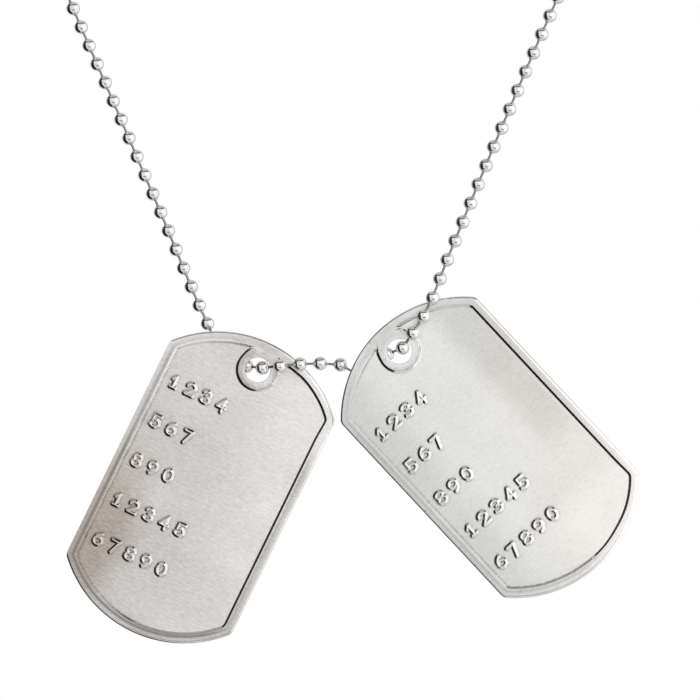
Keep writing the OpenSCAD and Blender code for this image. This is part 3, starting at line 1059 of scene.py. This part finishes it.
def mixed(tree, share, a, b, blend="MIX"):
    """Colour a changed into colour b by share, or into their product."""
    made = node(tree, "ShaderNodeMix", {"Factor": share}, data_type="RGBA", blend_type=blend)
    for key, value in ((6, a), (7, b)):
        if isinstance(value, bpy.types.NodeSocket):
            tree.links.new(value, made.inputs[key])
        else:
            made.inputs[key].default_value = (*value, 1.0)
    return made.outputs[2]


def tag_steel(look):
    """Satin stainless steel, brushed along the rows of numbers, with a smoother rim and polished crests, and
    with painted light and shade mixed into its tones.
    """
    material, tree, shader = new_material(look["steel"])
    here = node(tree, "ShaderNodeUVMap", uv_map="Brush").outputs["UV"]
    seed = look["seed"]
    marks = look["marks"]
    fine = noise(tree, here, FINE_BRUSHING, 2, 0.6, seed)
    broad = noise(tree, here, BROAD_BRUSHING, 2, 0.5, seed + 3)
    grain = noise(tree, here, GRAIN, 2, 0.6, seed + 5)
    cloud = noise(tree, here, CLOUDS, 3, 0.5, seed + 7)
    rim = attribute(tree, "rim")
    crest = attribute(tree, "crest")

    def plus(a, b):
        return math_of(tree, "ADD", a, b)

    def times(a, b):
        return math_of(tree, "MULTIPLY", a, b)

    fine_share, broad_share, grain_share = STREAK_SHARES
    streaks = plus(plus(times(fine, fine_share), times(broad, broad_share)), times(grain, grain_share))
    clouds = ranged(tree, cloud, *NOISE_SPAN, -CLOUD_SHARE * marks, CLOUD_SHARE * marks)
    lines = ranged(tree, streaks, *STREAK_SPAN, -marks, marks)
    # The tag's own tone and random clouds and streaks, plus the painted light and shade of the zones
    dull = plus(attribute(tree, "dull"), plus(clouds, lines))
    cool = mixed(tree, ranged(tree, dull, 0, 1, 0, 1), look["bright_tone"], look["dull_tone"])
    tint = mixed(tree, attribute(tree, "warm"), COOL_TINT, WARM_TINT)
    colour = mixed(tree, 1.0, cool, tint, "MULTIPLY")
    # Painted shade band along the rim
    colour = mixed(tree, attribute(tree, "painted_rim_shade"), colour, PAINTED_RIM_SHADE_TONE)
    nicks = ranged(tree, noise(tree, here, NICKS, 3, 0.6, seed + 9), *NICK_SPAN, 0, NICK_SHARE, True)
    colour = mixed(tree, times(nicks, rim), colour, NICK_TONE)
    spots = ranged(tree, grain, *SPOT_SPAN, SPOT_LEAST, 1.0)
    # Painted shade in the creases, broken up by the grain
    colour = mixed(tree, times(attribute(tree, "painted_crease_shade"), spots), colour, PAINTED_CREASE_SHADE_TONE)
    colour = mixed(tree, times(crest, CREST_SHARE), colour, CREST_TONE)
    tree.links.new(colour, shader.inputs["Base Color"])
    shader.inputs["Metallic"].default_value = 1.0

    smoother = plus(times(rim, RIM_SMOOTHER), times(crest, CREST_SMOOTHER))
    smoother = plus(smoother, times(attribute(tree, "wall"), WALL_SMOOTHER))
    rough = math_of(tree, "SUBTRACT", ranged(tree, streaks, *NOISE_SPAN, *TAG_ROUGHNESS), smoother)
    tree.links.new(math_of(tree, "MAXIMUM", rough, LEAST_ROUGHNESS), shader.inputs["Roughness"])
    shader.inputs["Anisotropic"].default_value = ANISOTROPY
    along = node(tree, "ShaderNodeTangent", direction_type="UV_MAP", uv_map="Brush")
    tree.links.new(along.outputs[0], shader.inputs["Tangent"])
    marked = math_of(tree, "SUBTRACT", 1.0, times(rim, RIM_UNMARKED))
    scored = {"Height": fine, "Strength": times(marked, SCORE_STRENGTH), "Distance": MARK_DEPTH}
    scored = node(tree, "ShaderNodeBump", scored).outputs[0]
    pitted = {"Height": grain, "Strength": times(marked, PIT_STRENGTH), "Distance": MARK_DEPTH}
    pitted = node(tree, "ShaderNodeBump", {**pitted, "Normal": scored}).outputs[0]
    tree.links.new(pitted, shader.inputs["Normal"])
    return material


def polished_steel(name, colour, rough, seam=False):
    """Bright steel with fine marks, and on the balls the closed seam of the rolled sheet and painted shade
    inside their holes.
    """
    material, tree, shader = new_material(name)
    here = node(tree, "ShaderNodeTexCoord").outputs["Object"]
    marks = noise(tree, here, FINE_MARKS, 3, 0.6)
    dull = noise(tree, here, DULL_SPOTS, 2, 0.5, 4)
    duller = tuple(c * DULL_TONE for c in colour)
    tint = mixed(tree, ranged(tree, dull, *DULL_SPAN, 0, DULL_SHARE, True), colour, duller)
    if seam:
        line = ranged(tree, attribute(tree, "seam"), *SEAM_SPAN, 0, SEAM_SHARE, True)
        tint = mixed(tree, line, tint, SEAM_TONE)
        # Painted shade inside the balls' holes
        tint = mixed(tree, attribute(tree, "inside"), tint, PAINTED_HOLE_SHADE_TONE)
    tree.links.new(tint, shader.inputs["Base Color"])
    shader.inputs["Metallic"].default_value = 1.0
    rougher = ranged(tree, dull, *NOISE_SPAN, rough, rough * DULL_ROUGHER)
    tree.links.new(rougher, shader.inputs["Roughness"])
    marked = {"Height": marks, "Strength": MARK_STRENGTH, "Distance": 2 * MARK_DEPTH}
    tree.links.new(node(tree, "ShaderNodeBump", marked).outputs[0], shader.inputs["Normal"])
    return material


def studio_world():
    """Pale backdrop for the camera, and for the metal a bright room with dark cards at the left and below."""
    world = bpy.data.worlds.new("studio")
    bpy.context.scene.world = world
    world.use_nodes = True
    tree = world.node_tree
    direction = node(tree, "ShaderNodeTexCoord").outputs["Generated"]
    level = STUDIO
    for toward, half, soft, brightness in CARDS:
        inputs = {0: direction, 1: tuple(unit(toward))}
        facing = node(tree, "ShaderNodeVectorMath", inputs, operation="DOT_PRODUCT").outputs["Value"]
        outer = math.cos(math.radians(half + soft))
        inner = math.cos(math.radians(half))
        level = ranged(tree, facing, outer, inner, level, brightness, True)
    path = node(tree, "ShaderNodeLightPath")
    level = ranged(tree, path.outputs["Is Diffuse Ray"], 0, 1, level, FLOOR_LIGHT)
    level = ranged(tree, path.outputs["Is Camera Ray"], 0, 1, level, BACKDROP)
    background = tree.nodes["Background"]
    background.inputs["Color"].default_value = (1, 1, 1, 1)
    tree.links.new(level, background.inputs["Strength"])


def floor():
    """Plain pale round floor below the necklace."""
    material, _, shader = new_material("pale_floor")
    shader.inputs["Base Color"].default_value = FLOOR_TONE
    shader.inputs["Roughness"].default_value = FLOOR_ROUGHNESS
    bpy.ops.mesh.primitive_circle_add(
        vertices=FLOOR_SIDES, radius=FLOOR_R, fill_type="NGON", location=(*FLOOR_MID, FLOOR_Z)
    )
    made = bpy.context.object
    made.name = "floor"
    made.data.materials.append(material)
    made.visible_glossy = False


def softbox(name, place, target, size, power):
    """A round soft light at place that shines towards target."""
    light = bpy.data.lights.new(name, "AREA")
    light.shape = "DISK"
    light.size = size
    light.energy = power
    lamp = bpy.data.objects.new(name, light)
    bpy.context.scene.collection.objects.link(lamp)
    lamp.location = place
    lamp.rotation_mode = "QUATERNION"
    lamp.rotation_quaternion = (Vector(target) - Vector(place)).to_track_quat("-Z", "Y")
    lamp.visible_camera = False


def camera():
    """The camera straight in front of the tags, far off with a long lens as in the photograph."""
    data = bpy.data.cameras.new("camera")
    data.lens = CAMERA_LENS
    data.sensor_width = CAMERA_SENSOR
    data.clip_start = CAMERA_NEAR
    made = bpy.data.objects.new("camera", data)
    bpy.context.scene.collection.objects.link(made)
    made.location = VIEW_MID - Vector((0, VIEW_W * CAMERA_LENS / CAMERA_SENSOR, 0))
    made.rotation_euler = (math.radians(90), 0, 0)
    bpy.context.scene.camera = made


camera()
balls = ball_places()
hinges = {joint["child"]: Vector(joint["pos_m"]) for joint in frame["joints"]}

for tag, look in TAGS.items():
    mesh = tag_mesh("stamped_" + tag, look, hung(hinges[tag], look["tilt"]))
    add_object(mesh, tag_steel(look), tag, tag)

ball_steel = polished_steel("chain_steel", *BALL_STEEL, seam=True)
# The links' steel is painted dark, standing in for the dark reflection they show
painted_dark_wire_steel = polished_steel("link_steel_painted_dark", *LINK_STEEL_PAINTED_DARK)
sleeve_steel = polished_steel("connector_steel", *SLEEVE_STEEL)
add_object(ball_mesh("chain_balls", balls), ball_steel, "chain", "ball_chain")
add_object(wire_mesh("chain_links", balls), painted_dark_wire_steel, "chain", "ball_chain")
add_object(sleeve_mesh("sleeve"), sleeve_steel, "chain", "connector")

studio_world()
floor()
softbox("key", KEY_PLACE, KEY_TARGET, KEY_SIZE, KEY_POWER)
bpy.context.scene.view_settings.view_transform = "Standard"
